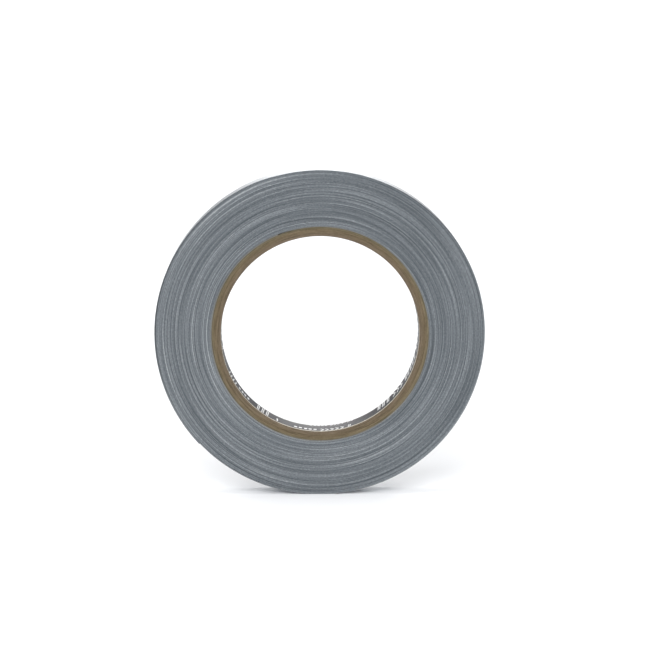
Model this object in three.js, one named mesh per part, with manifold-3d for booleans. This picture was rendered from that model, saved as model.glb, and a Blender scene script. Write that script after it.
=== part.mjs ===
// A roll of narrow silver duct tape on a spiral-wound paper core.
//
// Frame: millimetres, +Z up. The roll stands on its rim with its axis along Y and its front face
// towards -Y. Z = 0 is the flat that the roll stands on, and the roll's axis is above the origin.
// Angles are counter-clockwise as seen from the front, from +X towards +Z.

import * as THREE from 'three';
import * as BufferGeometryUtils from 'three/addons/utils/BufferGeometryUtils.js';
import Module from 'manifold-3d';

const wasm = await Module();
wasm.setup();

// The tape.
const TAPE_WIDTH = 10;
const FILM_THICKNESS = 0.09;
const SCRIM_THICKNESS = 0.07;
const ADHESIVE_THICKNESS = 0.09;
const LAYER_GAP = 0.01;
const TURN_PITCH = FILM_THICKNESS + SCRIM_THICKNESS + ADHESIVE_THICKNESS + 3 * LAYER_GAP;

// The winding: every turn of tape lies on the one below and climbs over its start at START_ANGLE.
const START_ANGLE = 112.5;
const CLIMB_ANGLE = 10;
const BAND_TURNS = [17, 16, 15, 14, 13];
const STUCK_ANGLE = 50;

// The tail, which is the end of the tape and lifts off the roll.
const TAIL_SEGMENTS = 6;
const TAIL_SEGMENT_ANGLE = 10;
const TAIL_GAP = 0.04;

// The core: a printed liner, plain body plies and a smooth outer ply, glued as one tube.
const BORE_DIAMETER = 76.2;
const LINER_THICKNESS = 0.3;
const BODY_PLIES = 6;
const BODY_PLY_THICKNESS = 0.5;
const OUTER_PLY_THICKNESS = 0.3;
const GLUE_LINE = 0.01;
const SEAM_GAP = 0.3;
const SEAM_SLANT = 31.5;
const SEAM_STEP = 137.5;

// Every round wall has the same flats, one of them level at the bottom, so that neighbours nest.
const FLATS = 72;
const FLAT_ANGLE = 360 / FLATS;

const BORE_RADIUS = BORE_DIAMETER / 2;
const PLY_THICKNESSES = [
  LINER_THICKNESS,
  ...Array(BODY_PLIES).fill(BODY_PLY_THICKNESS),
  OUTER_PLY_THICKNESS,
];
const CORE_RADIUS = BORE_RADIUS + PLY_THICKNESSES.reduce((sum, each) => sum + each + GLUE_LINE, 0);
const TURNS_BELOW_LAST = 1 + BAND_TURNS.reduce((sum, each) => sum + each, 0);
const ROLL_RADIUS = CORE_RADIUS + (TURNS_BELOW_LAST + 1) * TURN_PITCH - LAYER_GAP;
const AXIS_HEIGHT = ROLL_RADIUS * Math.cos(THREE.MathUtils.degToRad(FLAT_ANGLE / 2));

const SILVER = { color: 0x7b8489, roughness: 0.42, metalness: 0.25 };
const WOUND_EDGE = { color: 0x79828a, roughness: 0.7, metalness: 0 };
const COTTON = { color: 0xd9d6cc, roughness: 0.9, metalness: 0 };
const RUBBER_GLUE = { color: 0x9aa0a2, roughness: 0.5, metalness: 0 };
const KRAFT = { color: 0x7d6f5b, roughness: 0.85, metalness: 0 };
const LINER_PAPER = { color: 0x5a585c, roughness: 0.6, metalness: 0 };

const roll = new THREE.Group();
roll.rotation.x = Math.PI / 2;
roll.position.set(0, TAPE_WIDTH / 2, AXIS_HEIGHT);

function addPiece(name, geometry, finish) {
  const mesh = new THREE.Mesh(geometry, new THREE.MeshStandardMaterial(finish));
  mesh.name = name;
  roll.add(mesh);
}

function polar(radius, degrees) {
  const angle = THREE.MathUtils.degToRad(degrees);
  return new THREE.Vector2(radius * Math.cos(angle), radius * Math.sin(angle));
}

function extruded(outline, hole) {
  const shape = new THREE.Shape(outline);
  if (hole) shape.holes.push(new THREE.Path(hole));
  return new THREE.ExtrudeGeometry(shape, { depth: TAPE_WIDTH, bevelEnabled: false });
}

function circle(radius) {
  return Array.from({ length: FLATS }, (_, i) => polar(radius, (i + 0.5) * FLAT_ANGLE));
}

// How far under the tape lies at an angle past START_ANGLE, counted on through the turns.
function tapeRadius(wound) {
  const turn = Math.floor(wound / 360);
  const climb = Math.max(0, (wound % 360) - 360 + CLIMB_ANGLE) / CLIMB_ANGLE;
  return CORE_RADIUS + (turn + climb) * TURN_PITCH;
}

// The points of one face of the tape, lifted off its underside, from one wound angle to another.
function tapeFace(from, to, lift, inset = 0) {
  const flats = Math.round((to - from) / FLAT_ANGLE);
  return Array.from({ length: flats + 1 }, (_, i) => {
    const wound = from + i * FLAT_ANGLE;
    const trim = i === 0 ? inset : i === flats ? -inset : 0;
    return polar(tapeRadius(wound) + lift, START_ANGLE + wound + trim);
  });
}

// A length of one layer of the tape.
function strip(from, to, bottom, top, inset = 0) {
  const under = tapeFace(from, to, bottom, inset);
  const over = tapeFace(from, to, top, inset);
  return extruded([...over, ...under.reverse()]);
}

// A whole number of turns of tape as one ring, with the small step of the tape's start inside it
// and the step of its end outside it.
function band(firstTurn, turns) {
  const oneTurn = (turn, lift) => {
    const points = tapeFace(turn * 360, (turn + 1) * 360 - FLAT_ANGLE, lift);
    const top = tapeRadius((turn + 1) * 360) + lift;
    const shy = THREE.MathUtils.radToDeg((LAYER_GAP * 2) / top);
    points.push(polar(top, START_ANGLE - (lift < 0 ? shy : 0)));
    return points;
  };
  return extruded(oneTurn(firstTurn + turns, -LAYER_GAP), oneTurn(firstTurn, 0));
}

function solidOf(geometry) {
  geometry.deleteAttribute('normal');
  geometry.deleteAttribute('uv');
  const merged = BufferGeometryUtils.mergeVertices(geometry, 1e-5);
  const mesh = new wasm.Mesh({
    numProp: 3,
    vertProperties: new Float32Array(merged.getAttribute('position').array),
    triVerts: new Uint32Array(merged.index.array),
  });
  return new wasm.Manifold(mesh);
}

function geometryOf(solid) {
  const mesh = solid.getMesh();
  const geometry = new THREE.BufferGeometry();
  geometry.setAttribute('position', new THREE.BufferAttribute(mesh.vertProperties, 3));
  geometry.setIndex(new THREE.BufferAttribute(mesh.triVerts, 1));
  return geometry;
}

// One ply of the core: a ring of paper with the slanted butt seam that a helical strip leaves.
function ply(innerRadius, outerRadius, seamAngle) {
  const ring = extruded(circle(outerRadius), circle(innerRadius));
  const knife = new THREE.BoxGeometry(SEAM_GAP, 8, 4 * TAPE_WIDTH);
  const middle = polar((innerRadius + outerRadius) / 2, seamAngle);
  const place = new THREE.Object3D();
  place.position.set(middle.x, middle.y, TAPE_WIDTH / 2);
  place.rotation.set(0, 0, THREE.MathUtils.degToRad(seamAngle - 90));
  place.rotateY(THREE.MathUtils.degToRad(90 - SEAM_SLANT));
  place.updateMatrix();
  knife.applyMatrix4(place.matrix);
  return geometryOf(solidOf(ring).subtract(solidOf(knife)));
}

function addCore() {
  let radius = BORE_RADIUS;
  PLY_THICKNESSES.forEach((thickness, i) => {
    const last = PLY_THICKNESSES.length - 1;
    const name = i === 0 ? 'core_liner' : i === last ? 'core_outer_ply' : `core_ply_${i}`;
    const finish = i === 0 ? LINER_PAPER : KRAFT;
    addPiece(name, ply(radius, radius + thickness, 40 + i * SEAM_STEP), finish);
    radius += thickness + GLUE_LINE;
  });
}

function addWinding() {
  const inset = THREE.MathUtils.radToDeg(LAYER_GAP / CORE_RADIUS);
  addPiece('tape_first_turn', strip(0, 360, 0, TURN_PITCH - LAYER_GAP, inset), WOUND_EDGE);
  let turn = 1;
  BAND_TURNS.forEach((turns, i) => {
    addPiece(`tape_winding_${i + 1}`, band(turn, turns), WOUND_EDGE);
    turn += turns;
  });
}

// The layers of the tape, from the sticky underside out.
const LAYERS = [
  { name: 'adhesive', thickness: ADHESIVE_THICKNESS, finish: RUBBER_GLUE },
  { name: 'scrim', thickness: SCRIM_THICKNESS, finish: COTTON },
  { name: 'film', thickness: FILM_THICKNESS, finish: SILVER },
];

function addLayers(prefix, from, to, inset) {
  let bottom = 0;
  for (const layer of LAYERS) {
    const top = bottom + layer.thickness;
    addPiece(`${prefix}_${layer.name}`, strip(from, to, bottom, top, inset), layer.finish);
    bottom = top + LAYER_GAP;
  }
}

function addLastTurn() {
  const from = TURNS_BELOW_LAST * 360;
  const stuckTo = from + 360 + STUCK_ANGLE;
  addLayers('last_turn', from, stuckTo, 0);
  const inset = THREE.MathUtils.radToDeg(TAIL_GAP / 2 / ROLL_RADIUS);
  for (let i = 0; i < TAIL_SEGMENTS; i += 1) {
    const start = stuckTo + i * TAIL_SEGMENT_ANGLE;
    addLayers(`tail_${i + 1}`, start, start + TAIL_SEGMENT_ANGLE, inset);
  }
}

addCore();
addWinding();
addLastTurn();

export default roll;
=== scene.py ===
"""A narrow roll of silver duct tape on a spiral-wound paper core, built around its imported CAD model.

The roll stands on its rim with its axis along Y and its front face towards -Y. Angles are
counter-clockwise as seen from the front, from +X towards +Z, and "wound" counts turns of tape from
the start of the tape at the core.
"""

import math

import bpy
import numpy as np
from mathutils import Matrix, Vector


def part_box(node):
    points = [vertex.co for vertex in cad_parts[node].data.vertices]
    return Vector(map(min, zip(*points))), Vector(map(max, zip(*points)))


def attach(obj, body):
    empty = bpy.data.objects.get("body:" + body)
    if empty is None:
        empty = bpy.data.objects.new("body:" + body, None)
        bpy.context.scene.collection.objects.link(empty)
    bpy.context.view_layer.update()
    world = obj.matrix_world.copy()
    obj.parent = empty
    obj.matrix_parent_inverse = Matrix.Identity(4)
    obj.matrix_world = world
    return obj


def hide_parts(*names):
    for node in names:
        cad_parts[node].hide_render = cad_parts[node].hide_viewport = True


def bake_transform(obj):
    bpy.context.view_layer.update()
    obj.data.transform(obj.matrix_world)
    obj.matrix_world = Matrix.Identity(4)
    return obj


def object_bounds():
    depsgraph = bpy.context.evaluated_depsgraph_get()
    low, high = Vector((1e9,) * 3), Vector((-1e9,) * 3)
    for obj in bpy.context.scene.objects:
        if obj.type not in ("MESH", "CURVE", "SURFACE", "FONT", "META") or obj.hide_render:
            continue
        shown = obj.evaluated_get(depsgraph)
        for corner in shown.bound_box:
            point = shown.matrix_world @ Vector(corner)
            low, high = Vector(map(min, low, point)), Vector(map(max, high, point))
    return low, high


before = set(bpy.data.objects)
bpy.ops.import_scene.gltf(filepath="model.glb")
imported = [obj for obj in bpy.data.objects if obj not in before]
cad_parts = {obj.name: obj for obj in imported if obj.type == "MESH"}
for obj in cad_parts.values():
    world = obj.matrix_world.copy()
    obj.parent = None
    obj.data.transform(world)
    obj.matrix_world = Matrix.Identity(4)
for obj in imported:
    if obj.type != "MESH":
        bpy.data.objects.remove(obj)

cad_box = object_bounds()

MM = 0.001
TAU = 2 * math.pi

# The tape's section and its path round the roll. LAYERS gives each layer's inner and outer side in
# millimetres from the tape's underside. Angles are in degrees.
TURN_PITCH = 0.28 * MM
LAYERS = (("adhesive", 0.0, 0.09), ("scrim", 0.10, 0.17), ("film", 0.18, 0.27))
TAPE_THICKNESS = 0.27 * MM
START_ANGLE = 112.5
CLIMB_ANGLE = 10.0
STUCK_ANGLE = 50.0
MOST_TURNS = 200

# The roll's weight flattens its outer turns where it stands. The margin keeps the film's relief off
# the floor, and the fade is the power by which the flattening dies away towards the core.
PRESS_MARGIN = 0.03 * MM
PRESS_FADE = 4

# The tape's edges: the bevel as a share of a layer's thickness, how far the edges drift and wander
# out of the roll's faces, how far they lean, how far an odd turn stands out in front and behind, and
# the side of the roll, in degrees, towards which a painted sheen makes the edges a little brighter.
EDGE_BEVEL = 0.1
EDGE_DRIFT = 0.02 * MM
EDGE_WANDER = 0.024 * MM
EDGE_LEAN = 0.02 * MM
ODD_TURN_FRONT = 0.09 * MM
ODD_TURN_BACK = 0.05 * MM
EDGE_PAINTED_SHEEN_SIDE = 215.0

# The tail, which lifts. The tongue's length is in turns.
TAIL_SEGMENTS = 6
TAIL_SEGMENT_ANGLE = 10.0
TONGUE_LENGTH = 0.00025
TONGUE_INSET = 0.02 * MM

# How finely the strip is made: points per turn, and points across the film's face.
WINDING_STEPS = 180
LAYER_STEPS = 360
FILM_STEPS = 1440
FILM_PLACES = 41

# The core's plies: their seams, with angles in degrees, the liner's flare at both ends of the bore,
# the roughness of the cut ends, and the points across and round each ply.
SEAM_GAP = 0.3 * MM
SEAM_SLANT = 31.5
SEAM_FIRST = 40.0
SEAM_STEP = 137.5
GLUE_GAP = 0.01 * MM
LINER_FLARE = 0.55 * MM
LINER_FLARE_DEPTH = 0.08 * MM
FLARE_PLACES = (0.3, 0.6, 1.0)
PLY_BEVEL = 0.035 * MM
PLY_FUZZ = 0.018 * MM
PLY_WAVE = 0.012 * MM
PLY_WALL_PLACES = 10
PLY_END_PLACES = 4
PLY_STEPS = 360
LINER_STEPS = 720

# The plies' browns from the bore outwards, as swatches.
PLY_SWATCHES = (
    (108, 96, 82),
    (110, 97, 81),
    (109, 96, 78),
    (108, 95, 76),
    (106, 93, 73),
    (112, 99, 78),
    (110, 100, 79),
    (107, 99, 82),
)

# The glue lines from the bore outwards: where on the roll each is clearest, in degrees, and how
# dark it is there.
GLUE_LINES = (
    (90, 0.3),
    (120, 0.3),
    (210, 0.5),
    (45, 0.4),
    (250, 0.45),
    (330, 0.9),
    (85, 0.8),
    (160, 0.95),
    (170, 0.8),
)

# The print on the liner: how far the ink stands out of the paper and reaches into it, the points
# along a stroke, a mark's width as a share of the step to the next one, and the gap after a run of
# marks, in steps.
INK_HEIGHT = 0.012 * MM
INK_FOOT = 0.02 * MM
STROKE_STEPS = 5
MARK_WIDTH = 0.62
RUN_GAP = 0.5

# The cotton scrim, as its threads show in the film and the adhesive, and the relief of the film over
# it. Places along the film are measured at OUTER_TURN_RADIUS.
WARP_SPACING = 1.25 * MM
WEFT_SPACING = 2.5 * MM
WEAVE_RELIEF = 0.010 * MM
WRINKLE_RELIEF = 0.008 * MM
OUTER_TURN_RADIUS = 63.4 * MM

# A body's edge is shaded as an edge where it turns by more than this many degrees.
SHARP_ANGLE = 38

# Keeps a whole number of turns from being taken for a little less.
ROUNDING = 1e-9

liner_low, liner_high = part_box("core_liner")
AXIS = (liner_low.z + liner_high.z) / 2
FRONT = cad_box[0].y
BACK = cad_box[1].y


def radii(node):
    """The inner and outer radius of a ring of the CAD model, at the corners of its flats."""
    co = np.array([v.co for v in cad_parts[node].data.vertices])
    r = np.hypot(co[:, 0], co[:, 2] - AXIS)
    middle = (r.min() + r.max()) / 2
    return r[r < middle].max(), r.max()


BORE_RADIUS = radii("core_liner")[0]
CORE_RADIUS = radii("core_outer_ply")[1] + GLUE_GAP
ROLL_RADIUS = radii("tape_winding_5")[1]


# ---------------------------------------------------------------- shapes


def wander(x, seed, slowest, fastest, waves=7):
    """A smooth random line about 0, with ripples from slowest to fastest per unit of x."""
    source = np.random.default_rng(seed)
    total = np.zeros_like(x)
    for _ in range(waves):
        speed = slowest * (fastest / slowest) ** source.random()
        total += np.sin(TAU * (speed * x + source.random())) * (0.5 + source.random())
    return total / math.sqrt(waves)


def speckle(shape, seed):
    """Unrelated random numbers from -1 to 1."""
    return np.random.default_rng(seed).uniform(-1, 1, shape)


def on_roll(radius, degrees, y):
    """Points in the shared frame from polar ones about the roll's axis, broadcast together."""
    angle = np.radians(degrees)
    x, z = radius * np.cos(angle), AXIS + radius * np.sin(angle)
    x, y, z = np.broadcast_arrays(x, y, z)
    return np.stack([x, y, z], axis=-1)


def tape_radius(wound):
    """The radius of the tape's underside after that many turns."""
    turn = np.floor(wound + ROUNDING)
    climb = np.clip(((wound - turn) * 360 - 360 + CLIMB_ANGLE) / CLIMB_ANGLE, 0, 1)
    climb = climb * climb * (3 - 2 * climb)
    return CORE_RADIUS + (turn + climb) * TURN_PITCH


def pressed_flat(radius, degrees):
    """The tape's radius with the roll's weight on the floor: its outer turns give way there."""
    lowest_down = 0.5  # 60 degrees from the lowest point, far past where the roll touches
    down = np.maximum(np.cos(np.radians(degrees - 270)), lowest_down)
    overlap = np.maximum(ROLL_RADIUS + PRESS_MARGIN - AXIS / down, 0)
    share = np.clip((radius - CORE_RADIUS) / (ROLL_RADIUS - CORE_RADIUS), 0, None)
    return radius - overlap * share**PRESS_FADE


def put_attribute(mesh, name, values):
    """A number or a vector for each point of the mesh, for the materials to read."""
    vector = values.ndim == 2
    kind, field = ("FLOAT_VECTOR", "vector") if vector else ("FLOAT", "value")
    attribute = mesh.attributes.new(name, kind, "POINT")
    attribute.data.foreach_set(field, values.astype(np.float32).ravel())


def loop_body(name, points, attributes, paint, caps=None):
    """A closed body from points[column, place round the section, xyz]. The section runs from the
    front to the back on its inner side. Each attribute has one value or vector per point, paint
    gives each place round the section a material slot, and caps are the faces that close the first
    column, as places."""
    columns, places = points.shape[:2]
    index = np.arange(columns * places).reshape(columns, places)
    here, following = index[:-1], index[1:]
    quads = [here, following, np.roll(following, -1, axis=1), np.roll(here, -1, axis=1)]
    faces = np.stack(quads, axis=-1).reshape(-1, 4).tolist()
    slots = np.tile(np.array(paint), columns - 1).tolist()
    for cap in caps or [list(range(places))]:
        faces.append(index[0][cap].tolist())
        faces.append(index[-1][cap][::-1].tolist())
        slots += [paint[-1]] * 2
    mesh = bpy.data.meshes.new(name)
    mesh.from_pydata(points.reshape(-1, 3).tolist(), [], faces)
    mesh.polygons.foreach_set("material_index", slots)
    for key, values in attributes.items():
        put_attribute(mesh, key, values.reshape(columns * places, *values.shape[2:]))
    mesh.shade_smooth()
    mesh.set_sharp_from_angle(angle=math.radians(SHARP_ANGLE))
    mesh.update()
    piece = bpy.data.objects.new(name, mesh)
    bpy.context.scene.collection.objects.link(piece)
    return piece


def polar_attributes(radius, degrees, y, wound, depth):
    """What the materials read at each point: its turn, its depth in the tape or ply, its place
    round the roll, and its place on the flat sheet, in millimetres."""
    shape = np.broadcast_shapes(radius.shape, degrees.shape, y.shape)
    radius, degrees, y = (np.broadcast_to(v, shape) for v in (radius, degrees, y))
    angle = np.radians(degrees)
    around = np.stack([np.cos(angle), np.sin(angle), radius / MM], axis=-1)
    length = np.broadcast_to(wound, shape) * TAU * radius / MM
    sheet = np.stack([length, y / MM, np.zeros(shape)], axis=-1)
    return {
        "wound": np.broadcast_to(wound, shape).copy(),
        "depth": np.broadcast_to(depth, shape).copy(),
        "around": around,
        "sheet": sheet,
    }


# ---------------------------------------------------------------- materials


class Shader:
    """A new material with short calls for adding its nodes."""

    def __init__(self, name):
        self.material = bpy.data.materials.new(name)
        self.material.use_nodes = True
        self.tree = self.material.node_tree
        self.surface = self.tree.nodes["Principled BSDF"]

    def node(self, kind, inputs=(), **settings):
        made = self.tree.nodes.new("ShaderNode" + kind)
        for key, value in settings.items():
            setattr(made, key, value)
        for key, value in dict(inputs).items():
            self.link(made.inputs[key], value)
        return made

    def link(self, socket, value):
        if isinstance(value, bpy.types.NodeSocket):
            self.tree.links.new(value, socket)
        else:
            socket.default_value = value

    def set(self, **sockets):
        for key, value in sockets.items():
            self.link(self.surface.inputs[key.replace("_", " ")], value)

    def attribute(self, name, output="Fac"):
        return self.node("Attribute", attribute_name=name).outputs[output]

    def math(self, operation, a, b=0.0):
        return self.node("Math", {0: a, 1: b}, operation=operation).outputs[0]

    def stretched(self, vector, scale):
        made = self.node("VectorMath", {0: vector, 1: scale}, operation="MULTIPLY")
        return made.outputs[0]

    def noise(self, vector, scale=1.0, detail=3.0, roughness=0.55):
        inputs = {"Vector": vector, "Scale": scale, "Detail": detail, "Roughness": roughness}
        return self.node("TexNoise", inputs, noise_dimensions="3D").outputs["Fac"]

    def line_noise(self, place, scale=1.0, detail=3.0, roughness=0.55):
        inputs = {"W": place, "Scale": scale, "Detail": detail, "Roughness": roughness}
        return self.node("TexNoise", inputs, noise_dimensions="1D").outputs["Fac"]

    def ramp(self, value, stops):
        made = self.node("ValToRGB", {"Fac": value})
        marks = made.color_ramp.elements
        while len(marks) < len(stops):
            marks.new(0.5)
        for mark, (place, colour) in zip(marks, stops):
            mark.position = place
            mark.color = rgba(colour)
        return made.outputs["Color"]

    def mix(self, share, a, b, blend="MIX"):
        made = self.node("Mix", {"Factor": share}, data_type="RGBA", blend_type=blend)
        self.link(made.inputs["A"], a if isinstance(a, bpy.types.NodeSocket) else rgba(a))
        self.link(made.inputs["B"], b if isinstance(b, bpy.types.NodeSocket) else rgba(b))
        return made.outputs["Result"]

    def bump(self, height, distance, strength=1.0):
        inputs = {"Height": height, "Distance": distance, "Strength": strength}
        self.set(Normal=self.node("Bump", inputs).outputs["Normal"])

    def range(self, value, low, high, to_low=0.0, to_high=1.0):
        inputs = {"Value": value, "From Min": low, "From Max": high}
        inputs.update({"To Min": to_low, "To Max": to_high})
        return self.node("MapRange", inputs).outputs["Result"]


def linear(channel):
    """A swatch's channel, from 0 to 255, as the share of light that it stands for."""
    channel /= 255
    return channel / 12.92 if channel <= 0.04045 else ((channel + 0.055) / 1.055) ** 2.4


def rgba(colour):
    """A scene colour from the red, green and blue of a swatch, each from 0 to 255."""
    return (*(linear(c) for c in colour), 1.0)


def thread_height(shader, sheet):
    """How far the scrim's threads lift what lies on them, from 0 to 1."""
    split = shader.node("SeparateXYZ", {"Vector": sheet})

    def ridges(place, spacing, sharpness):
        turns = shader.math("MULTIPLY", place, math.pi * MM / spacing)
        wave = shader.math("ABSOLUTE", shader.math("COSINE", turns))
        return shader.math("POWER", wave, sharpness)

    wobble = shader.math("MULTIPLY", shader.noise(sheet, 0.35, 2.0), 0.5)
    along = shader.math("ADD", split.outputs["X"], wobble)
    across = shader.math("ADD", split.outputs["Y"], wobble)
    weft = shader.math("MULTIPLY", ridges(along, WEFT_SPACING, 6.0), 0.8)
    return shader.math("MAXIMUM", ridges(across, WARP_SPACING, 4.0), weft)


def facing_side(shader, around, degrees):
    """How far a place looks to one side of the roll: 1 on that side and -1 opposite it."""
    towards = (math.cos(math.radians(degrees)), math.sin(math.radians(degrees)), 0)
    product = shader.node("VectorMath", {0: around, 1: towards}, operation="DOT_PRODUCT")
    return product.outputs["Value"]


def wound_edge_material():
    """The cut edges of the turns: film, cotton ends and adhesive seen end on, in fine rings whose
    tone changes from turn to turn and fades along the turn, with a painted sheen that makes them a
    little brighter towards one side of the roll."""
    s = Shader("wound_tape_edge")
    around = s.attribute("around", "Vector")
    wound = s.attribute("wound")
    turn_tone = s.line_noise(wound, 2.2, 2.0, 0.5)
    rings = s.noise(s.stretched(around, (1.1, 1.1, 2.1)), 1.0, 1.0, 0.5)
    zones = s.noise(s.stretched(around, (0.8, 0.8, 0.5)), 1.0, 1.0, 0.5)
    grain = s.noise(s.stretched(around, (70.0, 70.0, 4.0)), 1.0, 4.0, 0.7)
    # Painted sheen: the edges are made a little lighter on one side of the roll, standing in for the
    # highlight that side light puts on the turns' edges.
    facing = facing_side(s, around, EDGE_PAINTED_SHEEN_SIDE)
    tone = s.math("MULTIPLY", turn_tone, 0.5)
    tone = s.math("ADD", tone, s.math("MULTIPLY", rings, 0.62))
    tone = s.math("ADD", tone, s.math("MULTIPLY", zones, 0.12))
    tone = s.math("ADD", tone, s.math("MULTIPLY", grain, 0.75))
    tone = s.math("ADD", tone, s.math("MULTIPLY", facing, 0.03))
    greys = [
        (0.18, (80, 86, 91)),
        (0.5, (114, 120, 125)),
        (0.72, (140, 145, 149)),
        (0.95, (181, 185, 187)),
    ]
    colour = s.ramp(s.range(tone, 0.68, 1.34), greys)
    adhesive_to_film = [
        (0.0, (236, 238, 240)),
        (0.36, (250, 250, 248)),
        (0.62, (255, 255, 255)),
        (0.72, (214, 216, 220)),
    ]
    layers = s.ramp(s.attribute("depth"), adhesive_to_film)
    colour = s.mix(0.7, colour, layers, "MULTIPLY")
    colour = s.mix(s.range(wound, 0.0, 1.8, 0.65, 0.0), colour, (121, 117, 107))
    s.set(Base_Color=colour, Roughness=s.range(grain, 0.3, 0.7, 0.5, 0.72), Specular_IOR_Level=0.35)
    s.bump(s.math("ADD", grain, turn_tone), 0.03 * MM, 0.5)
    return s.material


def film_material():
    """The silver backing: aluminium-filled polyethylene with the weave showing through."""
    s = Shader("silver_film")
    sheet = s.attribute("sheet", "Vector")
    weave = thread_height(s, sheet)
    cloud = s.noise(s.stretched(sheet, (0.05, 0.22, 1.0)), 1.0, 4.0, 0.6)
    drawn = s.noise(s.stretched(sheet, (0.25, 6.0, 1.0)), 1.0, 3.0, 0.6)
    fine = s.noise(s.stretched(sheet, (7.0, 9.0, 1.0)), 1.0, 2.0, 0.5)
    tone = s.math("ADD", s.math("MULTIPLY", cloud, 0.45), s.math("MULTIPLY", drawn, 0.3))
    tone = s.math("ADD", tone, s.math("MULTIPLY", weave, 0.16))
    tone = s.math("ADD", tone, s.math("MULTIPLY", fine, 0.12))
    silver = [(0.3, (160, 164, 168)), (0.5, (180, 184, 188)), (0.72, (204, 206, 209))]
    rough = s.range(s.math("ADD", cloud, fine), 0.6, 1.4, 0.34, 0.5)
    s.set(Base_Color=s.ramp(tone, silver), Metallic=0.6, Roughness=rough)
    s.set(Coat_Weight=0.3, Coat_Roughness=0.28)
    relief = s.math("ADD", weave, s.math("MULTIPLY", drawn, 0.25))
    relief = s.math("ADD", relief, s.math("MULTIPLY", fine, 0.12))
    s.bump(relief, 0.035 * MM, 0.8)
    return s.material


def scrim_material():
    """Undyed cotton cloth, of soft twisted threads."""
    s = Shader("cotton_scrim")
    sheet = s.attribute("sheet", "Vector")
    weave = thread_height(s, sheet)
    twist = s.noise(s.stretched(sheet, (6.0, 16.0, 1.0)), 1.0, 3.0, 0.6)
    colour = s.ramp(twist, [(0.25, (176, 172, 160)), (0.6, (214, 211, 201)), (0.85, (236, 234, 227))])
    s.set(Base_Color=colour, Roughness=0.92, Sheen_Weight=0.3)
    s.bump(s.math("ADD", weave, s.math("MULTIPLY", twist, 0.5)), 0.05 * MM, 0.9)
    return s.material


def adhesive_material():
    """Pressure-sensitive rubber glue, cloudy and tacky, with the cloth showing through it."""
    s = Shader("rubber_adhesive")
    sheet = s.attribute("sheet", "Vector")
    weave = thread_height(s, sheet)
    cloud = s.noise(sheet, 0.6, 4.0, 0.6)
    tone = s.math("ADD", s.math("MULTIPLY", cloud, 0.7), s.math("MULTIPLY", weave, 0.35))
    colour = s.ramp(tone, [(0.25, (139, 142, 140)), (0.5, (166, 168, 164)), (0.85, (196, 197, 190))])
    rough = s.range(cloud, 0.3, 0.7, 0.28, 0.5)
    s.set(Base_Color=colour, Roughness=rough, Coat_Weight=0.25, Coat_Roughness=0.3)
    s.bump(s.math("ADD", weave, s.math("MULTIPLY", cloud, 0.6)), 0.04 * MM, 0.8)
    return s.material


def board_material(name, swatch, ply):
    """Kraft board: brown paper with fibres, blotchy round the roll and darker at its glue lines."""
    s = Shader(name)
    around = s.attribute("around", "Vector")
    depth = s.attribute("depth")
    fibre = s.noise(s.stretched(around, (42.0, 42.0, 2.8)), 1.0, 4.0, 0.65)
    place = s.node("VectorMath", {0: s.stretched(around, (1.0, 1.0, 0.0)), 1: (0, 0, ply * 7.3)})
    patch = s.noise(place.outputs[0], 1.3, 2.0, 0.5)
    long_fibre = s.noise(s.stretched(around, (6.0, 6.0, 3.0)), 1.0, 3.0, 0.6)
    tone = s.math("ADD", s.math("MULTIPLY", fibre, 0.6), s.math("MULTIPLY", patch, 0.55))
    tone = s.math("ADD", tone, s.math("MULTIPLY", long_fibre, 1.0))
    dark = (swatch[0] * 0.8, swatch[1] * 0.81, swatch[2] * 0.78)
    light = (swatch[0] * 1.17, swatch[1] * 1.18, swatch[2] * 1.2)
    colour = s.ramp(s.range(tone, 0.7, 1.45), [(0.15, dark), (0.5, swatch), (0.85, light)])
    inside = glue_line(s, around, s.math("SUBTRACT", 1.0, depth), GLUE_LINES[ply])
    outside = glue_line(s, around, depth, GLUE_LINES[ply + 1])
    glue = s.math("MULTIPLY", s.math("MAXIMUM", inside, outside), s.range(long_fibre, 0.3, 0.7, 1, 0.4))
    colour = s.mix(glue, colour, tuple(c * 0.5 for c in swatch))
    s.set(Base_Color=colour, Roughness=0.88, Specular_IOR_Level=0.25)
    s.bump(s.math("ADD", fibre, s.math("MULTIPLY", long_fibre, 0.4)), 0.06 * MM, 0.7)
    return s.material


def glue_line(shader, around, near, line):
    """How dark the glue line is where near goes to 1. A line is clearest in one direction."""
    degrees, strength = line
    facing = facing_side(shader, around, degrees)
    share = shader.range(facing, -0.3, 0.9, 0.15 * strength, strength)
    return shader.math("MULTIPLY", shader.range(near, 0.78, 1.0), share)


def liner_material():
    """The liner's printed face: dark grey ink on smooth paper, thin along the fibres."""
    s = Shader("printed_liner")
    sheet = s.attribute("sheet", "Vector")
    fibre = s.noise(s.stretched(sheet, (0.8, 5.0, 1.0)), 1.0, 4.0, 0.6)
    mottle = s.noise(sheet, 0.9, 3.0, 0.6)
    tone = s.math("ADD", s.math("MULTIPLY", fibre, 0.6), s.math("MULTIPLY", mottle, 0.4))
    colour = s.ramp(tone, [(0.28, (38, 37, 40)), (0.5, (50, 49, 53)), (0.75, (69, 67, 72))])
    s.set(Base_Color=colour, Roughness=s.range(mottle, 0.3, 0.7, 0.42, 0.6), Specular_IOR_Level=0.4)
    s.bump(fibre, 0.02 * MM, 0.5)
    return s.material


def pale_paper_material():
    """The bare paper of the liner where the knife opened it."""
    s = Shader("liner_cut_edge")
    around = s.attribute("around", "Vector")
    fuzz = s.noise(s.stretched(around, (60.0, 60.0, 5.0)), 1.0, 4.0, 0.7)
    colour = s.ramp(fuzz, [(0.25, (190, 181, 162)), (0.5, (222, 215, 200)), (0.75, (242, 238, 228))])
    s.set(Base_Color=colour, Roughness=0.9, Specular_IOR_Level=0.2)
    s.bump(fuzz, 0.05 * MM, 0.8)
    return s.material


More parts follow.
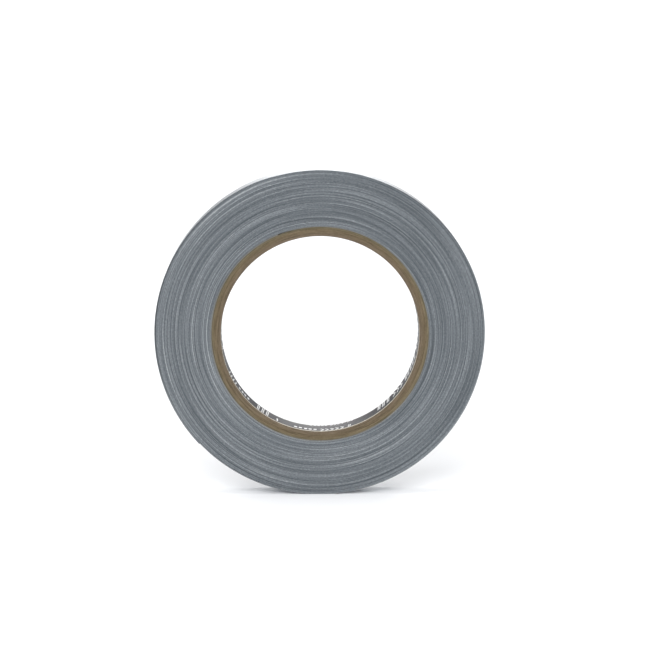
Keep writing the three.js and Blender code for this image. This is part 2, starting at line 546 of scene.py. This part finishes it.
def ink_material():
    """White print on the liner, a little thin and broken."""
    s = Shader("white_print")
    sheet = s.attribute("sheet", "Vector")
    wear = s.noise(sheet, 3.2, 4.0, 0.7)
    colour = s.ramp(wear, [(0.3, (196, 195, 197)), (0.42, (236, 236, 236)), (0.8, (248, 248, 246))])
    s.set(Base_Color=colour, Roughness=0.6)
    s.bump(wear, 0.01 * MM, 0.4)
    return s.material


# ---------------------------------------------------------------- the core


def ply_walls(flare):
    """The places across a ply's walls, from the front to the back, and how far the bore opens."""
    y = np.linspace(FRONT + PLY_BEVEL, BACK - PLY_BEVEL, PLY_WALL_PLACES)
    if not flare:
        return y, np.zeros(len(y))
    near = FRONT + LINER_FLARE * np.array(FLARE_PLACES)
    y = np.concatenate([y[:1], near, y[2:-2], -near[::-1], y[-1:]])
    from_end = np.minimum(y - FRONT, BACK - y)
    return y, flare * np.clip(1 - from_end / LINER_FLARE, 0, 1)


def ply_body(name, inner, outer, seam, materials, columns=PLY_STEPS, flare=0.0):
    """A ring of paper with a slanted butt seam. A flare opens its bore a little at both ends."""
    y_wall, open_by = ply_walls(flare)
    walls = len(y_wall)
    r_end = np.linspace(inner + flare + PLY_BEVEL, outer - PLY_BEVEL, PLY_END_PLACES)
    radius = np.concatenate([inner + open_by, r_end, np.full(walls, outer), r_end[::-1]])
    back_end, front_end = np.full(PLY_END_PLACES, BACK), np.full(PLY_END_PLACES, FRONT)
    y = np.concatenate([y_wall, back_end, y_wall[::-1], front_end])
    share = np.linspace(0, 1, columns)[:, None]
    gap = math.degrees(SEAM_GAP / inner)
    slant = np.degrees(y / (inner * math.tan(math.radians(SEAM_SLANT))))[None, :]
    degrees = seam + gap / 2 + share * (360 - gap) + slant * np.cos(math.pi * share) ** 2
    seed = int(seam * 10)
    places = len(radius)
    fuzz = speckle((columns, places), seed) * PLY_FUZZ
    fuzz += wander(share[:, 0], seed, 3, 40)[:, None] * PLY_WAVE
    at_end = np.abs(y) == BACK
    y = y[None, :] + np.where(at_end, np.sign(y) * fuzz, 0)
    radius = np.broadcast_to(radius[None, :], y.shape)
    depth = (radius - inner) / (outer - inner)
    attributes = polar_attributes(radius, degrees, y, degrees / 360, depth)
    outer_first = walls + PLY_END_PLACES
    outer_last = outer_first + walls - 1
    caps = [[*range(walls - 1, outer_first + 1)], [*range(outer_last, places), 0]]
    caps += [[k, k + 1, outer_last - 1 - k, outer_last - k] for k in range(walls - 1)]
    paint = [0] * places
    if len(materials) > 1:
        flared = len(FLARE_PLACES)
        paint[:flared] = paint[walls - 1 - flared : walls - 1] = [1] * flared
        paint[walls - 1 : outer_first] = [2] * (PLY_END_PLACES + 1)
        paint[outer_last:] = [2] * (PLY_END_PLACES + 1)
    piece = loop_body(name, on_roll(radius, degrees, y), attributes, paint, caps)
    for material in materials:
        piece.data.materials.append(material)
    return piece


def build_core():
    """The liner, the body plies and the outer ply, each with its own brown."""
    names = ["core_liner", *(f"core_ply_{i}" for i in range(1, 7)), "core_outer_ply"]
    for i, node in enumerate(names):
        inner, outer = radii(node)
        seam = SEAM_FIRST + i * SEAM_STEP
        if node == "core_liner":
            end = board_material("core_liner_board", PLY_SWATCHES[0], 0)
            made = [liner_material(), pale_paper_material(), end]
            piece = ply_body(
                "liner_paper", inner, outer, seam, made, LINER_STEPS, LINER_FLARE_DEPTH
            )
        else:
            made = [board_material(node + "_board", PLY_SWATCHES[i], i)]
            piece = ply_body(node + "_paper", inner, outer, seam, made)
        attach(piece, "roll")
        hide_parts(node)


# ---------------------------------------------------------------- print on the liner


def stroke(a, b, thick):
    """The four corners of a straight stroke of ink between two places (length, y) in mm."""
    a, b = np.array(a, float), np.array(b, float)
    along = (b - a) / np.linalg.norm(b - a)
    side = np.array([-along[1], along[0]]) * thick / 2
    return np.array([a - side, b - side, b + side, a + side])


def chevron(x, y, wide, tall, thick):
    """Two strokes that meet in a point at x + wide."""
    tip = (x + wide, y)
    return [stroke((x, y + tall / 2), tip, thick), stroke((x, y - tall / 2), tip, thick)]


def bar(x, y, tall, thick, lean=0.0):
    """One stroke from y - tall / 2 to y + tall / 2, whose ends lean to either side of x."""
    return [stroke((x - lean, y - tall / 2), (x + lean, y + tall / 2), thick)]


def print_body(name, strokes, steps=STROKE_STEPS):
    """Thin raised patches of ink that follow the bore's wall, joined as one mesh."""
    top = BORE_RADIUS - INK_HEIGHT
    foot = BORE_RADIUS + INK_FOOT
    points, faces = [], []
    for corners in strokes:
        a, b, c, d = corners
        share = np.linspace(0, 1, steps)[:, None]
        rails = (a + (b - a) * share, d + (c - d) * share)
        first = len(points)
        for radius in (top, foot):
            for rail in rails:
                for s, y in rail:
                    degrees = 270 + math.degrees(s * MM / BORE_RADIUS)
                    angle = math.radians(degrees)
                    points.append((radius * math.cos(angle), y * MM, AXIS + radius * math.sin(angle)))

        def at(level, rail, i):
            return first + (level * 2 + rail) * steps + i

        for i in range(steps - 1):
            faces.append((at(0, 0, i), at(0, 0, i + 1), at(0, 1, i + 1), at(0, 1, i)))
            faces.append((at(1, 0, i), at(1, 1, i), at(1, 1, i + 1), at(1, 0, i + 1)))
            for rail in (0, 1):
                side = (at(0, rail, i), at(1, rail, i), at(1, rail, i + 1), at(0, rail, i + 1))
                faces.append(side if rail == 0 else side[::-1])
        last = steps - 1
        faces.append((at(0, 0, 0), at(0, 1, 0), at(1, 1, 0), at(1, 0, 0)))
        faces.append((at(0, 0, last), at(1, 0, last), at(1, 1, last), at(0, 1, last)))
    mesh = bpy.data.meshes.new(name)
    mesh.from_pydata(points, [], faces)
    mesh.update()
    co = np.array(points)
    angle = np.arctan2(co[:, 2] - AXIS, co[:, 0])
    sheet = np.stack([angle * BORE_RADIUS / MM, co[:, 1] / MM, np.zeros(len(co))], axis=-1)
    put_attribute(mesh, "sheet", sheet)
    piece = bpy.data.objects.new(name, mesh)
    bpy.context.scene.collection.objects.link(piece)
    piece.data.materials.append(ink_material())
    return piece


def small_mark(kind, x, y, wide, tall, weight):
    """One of four plain marks, standing at x, as wide and as tall as asked."""
    thick = min(0.2 * tall, weight * wide)
    if kind == 0:
        return chevron(x, y, wide, tall, thick)
    if kind == 1:
        return bar(x + wide / 2, y, tall, thick * 1.2, wide * 0.3)
    if kind == 2:
        return bar(x + wide / 2, y + tall * 0.2, tall * 0.5, wide)
    thin, lean = thick * 0.7, wide * 0.2
    return bar(x + wide * 0.3, y, tall, thin, lean) + bar(x + wide * 0.85, y, tall, thin, lean)


def row_of_marks(first, last, y, tall, step, seed, weight=0.45):
    """Short runs of one plain mark each, with a gap after each run, from one place along the wall
    to another."""
    order = np.random.default_rng(seed)
    marks = []
    kind = int(order.integers(4))
    left_in_run = int(order.integers(3, 6))
    x = first
    while x < last:
        marks += small_mark(kind, x, y, step * MARK_WIDTH, tall, weight)
        x += step * order.uniform(0.9, 1.1)
        left_in_run -= 1
        if left_in_run == 0:
            kind = (kind + int(order.integers(1, 4))) % 4
            left_in_run = int(order.integers(3, 6))
            x += step * RUN_GAP
    return marks


def build_print():
    """Plain marks in the places of the liner's print. Places are millimetres along the wall from
    the lowest point, positive to the right, and millimetres across it, negative to the front."""
    around = TAU * BORE_RADIUS / MM
    marks = []
    for shift in (0, around / 2):
        marks += row_of_marks(shift + 24.0, shift + 66.0, 1.6, 5.4, 2.3, 3, 0.5)
        marks += row_of_marks(shift - 10.2, shift + 12.4, -2.6, 3.0, 1.9, 4)
        marks += row_of_marks(shift - 4.0, shift + 12.4, 4.0, 1.4, 1.5, 5)
        marks += row_of_marks(shift - 44.6, shift - 31.0, -1.5, 5.0, 1.7, 6)
        marks += row_of_marks(shift - 26.6, shift - 22.0, 0.0, 7.4, 2.0, 7)
        marks += bar(shift - 17.2, -1.4, 4.0, 0.6)
    piece = print_body("liner_print", marks)
    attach(piece, "roll")


# ---------------------------------------------------------------- the tape


def edge_places(wound, seed=5):
    """How far the front and back edge of the tape stand out of the roll's faces, and how far each
    leans, along the strip."""
    drift = wander(wound, seed, 0.03, 0.4) * EDGE_DRIFT
    front = wander(wound, seed + 1, 0.3, 3.5) * EDGE_WANDER + drift
    back = wander(wound, seed + 2, 0.3, 3.5) * EDGE_WANDER - drift
    lean = wander(wound, seed + 3, 0.3, 2.5) * EDGE_LEAN
    turn = np.floor(wound).astype(int)
    odd = np.random.default_rng(seed + 4).random(MOST_TURNS)[turn] ** 6
    odd = odd * np.clip(wander(wound, seed + 5, 0.8, 2.0), 0, 1)
    return front + odd * ODD_TURN_FRONT, back + odd * ODD_TURN_BACK, lean


def strip_body(
    name, first, last, bottom, top, per_turn, materials, across=2, relief=None, tongue=0.0
):
    """A length of tape or of one of its layers, from one wound place to another. A tongue is a
    thinner end that reaches into the next length, so that no gap opens when the tape bends."""
    columns = max(3, int(round((last - first) * per_turn)) + 1)
    wound = np.linspace(first, last, columns)
    inset = np.zeros(columns)
    if tongue:
        wound = np.append(wound, (last, last + tongue))
        inset = np.append(inset, (TONGUE_INSET, TONGUE_INSET))
    under = tape_radius(wound)
    degrees = START_ANGLE + wound * 360
    front_out, back_out, lean = edge_places(wound)
    bevel = (top - bottom) * EDGE_BEVEL
    shares = np.linspace(0, 1, across)[::-1]
    front = FRONT - front_out
    back = BACK + back_out
    places = []
    places.append((bottom, front + bevel + lean))
    places.append((bottom, back - bevel - lean))
    places.append((bottom + bevel, back - lean))
    places.append((top - bevel, back + lean))
    top_first = len(places)
    for share in shares:
        places.append((top, (front + bevel - lean) * (1 - share) + (back - bevel + lean) * share))
    places.append((top - bevel, front - lean))
    places.append((bottom + bevel, front + lean))
    radius = np.stack([under + r for r, _ in places], axis=1)
    y = np.stack([p for _, p in places], axis=1)
    radius += inset[:, None] * np.array([1, 1, 1, -1] + [-1] * across + [-1, 1])
    y += inset[:, None] * np.array([1, -1, -1, -1, *(1 - 2 * shares), 1, 1])
    if relief is not None:
        face = slice(top_first, top_first + across)
        radius[:, face] += relief(wound[:, None], y[:, face]) * sealed(across)[None, :]
    radius = pressed_flat(radius, degrees[:, None])
    depth = np.array([r for r, _ in places])[None, :] / TAPE_THICKNESS
    attributes = polar_attributes(radius, degrees[:, None], y, wound[:, None], depth)
    paint = [1] * len(places)
    paint[0] = 0
    paint[top_first : top_first + across - 1] = [0] * (across - 1)
    piece = loop_body(name, on_roll(radius, degrees[:, None], y), attributes, paint)
    piece.data.materials.append(materials[0])
    piece.data.materials.append(materials[-1])
    return piece


def sealed(across):
    """1 across a face and 0 at its two sides, so that relief leaves the edges alone."""
    keep = np.ones(across)
    keep[0] = keep[-1] = 0
    return keep


def film_relief(wound, y):
    """The film's surface over the cloth: thread ridges, and a few long soft wrinkles."""
    length = wound * TAU * OUTER_TURN_RADIUS
    warp = np.abs(np.cos(math.pi * y / WARP_SPACING)) ** 4
    weft = np.abs(np.cos(math.pi * (length / WEFT_SPACING + 0.15 * np.sin(y / MM)))) ** 6 * 0.8
    wrinkle = np.sin(TAU * (wound * 2.3 + y / (9 * MM)))
    wrinkle = wrinkle * np.sin(TAU * (wound * 7.1 - y / (23 * MM)))
    return np.maximum(warp, weft) * WEAVE_RELIEF + wrinkle * WRINKLE_RELIEF


def build_tape():
    """The tape: its windings, its last turn in three layers, and its tail."""
    edge = wound_edge_material()
    layer_materials = {
        "film": film_material(),
        "scrim": scrim_material(),
        "adhesive": adhesive_material(),
    }
    turn = 0
    nodes = ["tape_first_turn"] + [f"tape_winding_{i}" for i in range(1, 6)]
    for node in nodes:
        last = round((radii(node)[1] - CORE_RADIUS) / TURN_PITCH) - 1
        piece = strip_body(
            node + "_turns", turn, last, 0.0, TAPE_THICKNESS, WINDING_STEPS, [edge]
        )
        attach(piece, "roll")
        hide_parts(node)
        turn = last
    stuck_end = turn + 1 + STUCK_ANGLE / 360
    half = TAIL_SEGMENT_ANGLE / 720
    for layer, bottom, top in LAYERS:
        material = layer_materials[layer]
        span = (bottom * MM, top * MM)
        fine = layer == "film"
        shape = dict(
            per_turn=FILM_STEPS if fine else LAYER_STEPS,
            materials=[material, edge],
            across=FILM_PLACES if fine else 2,
            relief=film_relief if fine else None,
        )
        name = f"last_turn_{layer}"
        piece = strip_body(name + "_sheet", turn, stuck_end - half, *span, **shape)
        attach(piece, "roll")
        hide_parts(name)
        build_tail(layer, span, shape, stuck_end)


def build_tail(layer, span, shape, stuck_end):
    """The tail's layer, in lengths that each reach over one hinge, and its free end."""
    half = TAIL_SEGMENT_ANGLE / 720
    for i in range(TAIL_SEGMENTS + 1):
        hinge = stuck_end + i * 2 * half
        first, last = hinge - half, hinge + half
        if i == TAIL_SEGMENTS:
            last = hinge
        tongue = TONGUE_LENGTH if i < TAIL_SEGMENTS - 1 else 0.0
        piece = strip_body(f"tail_{layer}_{i + 1}", first, last, *span, tongue=tongue, **shape)
        if i == TAIL_SEGMENTS:
            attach(piece, f"tail_{TAIL_SEGMENTS}")
            continue
        ends = [
            on_roll(tape_radius(np.array(w)) + TAPE_THICKNESS, START_ANGLE + w * 360, 0.0)
            for w in (first, last)
        ]
        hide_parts(f"tail_{i + 1}_{layer}")
        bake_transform(piece)


# ---------------------------------------------------------------- stage


# Angles are in degrees and lengths in metres, but the lens is in millimetres and the shift is a
# share of the picture's width. The background lights the roll with the sweep's strength up to
# SWEEP_TOP and with the ceiling's from CEILING_BASE. Strengths are shares of white.
CAMERA_ELEVATION = 10.9
CAMERA_AZIMUTH = -0.9
CAMERA_DISTANCE = 0.75
CAMERA_LENS = 108.2
CAMERA_SHIFT = (0.0074, 0.0150)
SWEEP_STRENGTH = 0.35
SWEEP_TOP = 12
CEILING_BASE = 24
CEILING_STRENGTH = 0.22
FLOOR_HALF = 30.0


def build_camera():
    """A camera in front of the roll, a little above it, as in the photo."""
    data = bpy.data.cameras.new("camera")
    camera = bpy.data.objects.new("camera", data)
    bpy.context.scene.collection.objects.link(camera)
    e, a = math.radians(CAMERA_ELEVATION), math.radians(CAMERA_AZIMUTH)
    back = Vector((math.sin(a) * math.cos(e), -math.cos(a) * math.cos(e), math.sin(e)))
    camera.location = Vector((0, FRONT, AXIS)) + back * CAMERA_DISTANCE
    camera.rotation_mode = "QUATERNION"
    camera.rotation_quaternion = (-back).to_track_quat("-Z", "Y")
    data.sensor_width = 36
    data.lens = CAMERA_LENS
    data.shift_x, data.shift_y = CAMERA_SHIFT
    data.clip_start = 0.01
    bpy.context.scene.camera = camera


def soft_sun(name, azimuth, elevation, floor_light, softness):
    """A far, wide lamp. Azimuth is from +X towards +Y, and floor_light is the light it puts on a
    white floor, where 1 is white in the picture."""
    data = bpy.data.lights.new(name, "SUN")
    a, e = math.radians(azimuth), math.radians(elevation)
    data.energy = floor_light * math.pi / math.sin(e)
    data.angle = math.radians(softness)
    lamp = bpy.data.objects.new(name, data)
    bpy.context.scene.collection.objects.link(lamp)
    towards = Vector((math.cos(a) * math.cos(e), math.sin(a) * math.cos(e), math.sin(e)))
    lamp.location = towards
    lamp.rotation_mode = "QUATERNION"
    lamp.rotation_quaternion = (-towards).to_track_quat("-Z", "Y")


def build_studio_light():
    """A white background that lights the roll less than it shows, more near the horizon than
    above, and four wide lamps."""
    scene = bpy.context.scene
    scene.view_settings.view_transform = "Standard"
    world = bpy.data.worlds.new("studio")
    world.use_nodes = True
    tree = world.node_tree
    direction = tree.nodes.new("ShaderNodeTexCoord").outputs["Generated"]
    split = tree.nodes.new("ShaderNodeSeparateXYZ")
    tree.links.new(direction, split.inputs[0])
    level = tree.nodes.new("ShaderNodeMapRange")
    level.inputs["From Min"].default_value = math.sin(math.radians(SWEEP_TOP))
    level.inputs["From Max"].default_value = math.sin(math.radians(CEILING_BASE))
    level.inputs["To Min"].default_value = SWEEP_STRENGTH
    level.inputs["To Max"].default_value = CEILING_STRENGTH
    tree.links.new(split.outputs["Z"], level.inputs["Value"])
    seen = tree.nodes.new("ShaderNodeMath")
    seen.operation = "MAXIMUM"
    tree.links.new(level.outputs["Result"], seen.inputs[0])
    tree.links.new(tree.nodes.new("ShaderNodeLightPath").outputs["Is Camera Ray"], seen.inputs[1])
    tree.links.new(seen.outputs[0], tree.nodes["Background"].inputs["Strength"])
    tree.nodes["Background"].inputs["Color"].default_value = (1.0, 1.0, 1.0, 1.0)
    scene.world = world
    soft_sun("front_lamp", 262, 40, 0.42, 40)
    soft_sun("left_lamp", 180, 58, 0.30, 30)
    soft_sun("right_lamp", 4, 58, 0.24, 30)
    soft_sun("back_lamp", 88, 27, 0.13, 36)


def build_floor():
    """A plain pale floor that goes on past the camera's view."""
    s = Shader("pale_floor")
    tint = s.noise(s.node("TexCoord").outputs["Object"], 30.0, 2.0)
    s.set(Base_Color=s.ramp(tint, [(0.0, (246, 247, 249)), (1.0, (248, 249, 251))]), Roughness=0.9)
    mesh = bpy.data.meshes.new("floor")
    signs = ((-1, -1), (1, -1), (1, 1), (-1, 1))
    corners = [(x * FLOOR_HALF, y * FLOOR_HALF, 0) for x, y in signs]
    mesh.from_pydata(corners, [], [(0, 1, 2, 3)])
    floor = bpy.data.objects.new("floor", mesh)
    floor.location.z = cad_box[0].z
    bpy.context.scene.collection.objects.link(floor)
    mesh.materials.append(s.material)


build_camera()
build_studio_light()
build_floor()
build_core()
build_print()
build_tape()

bpy.context.view_layer.update()
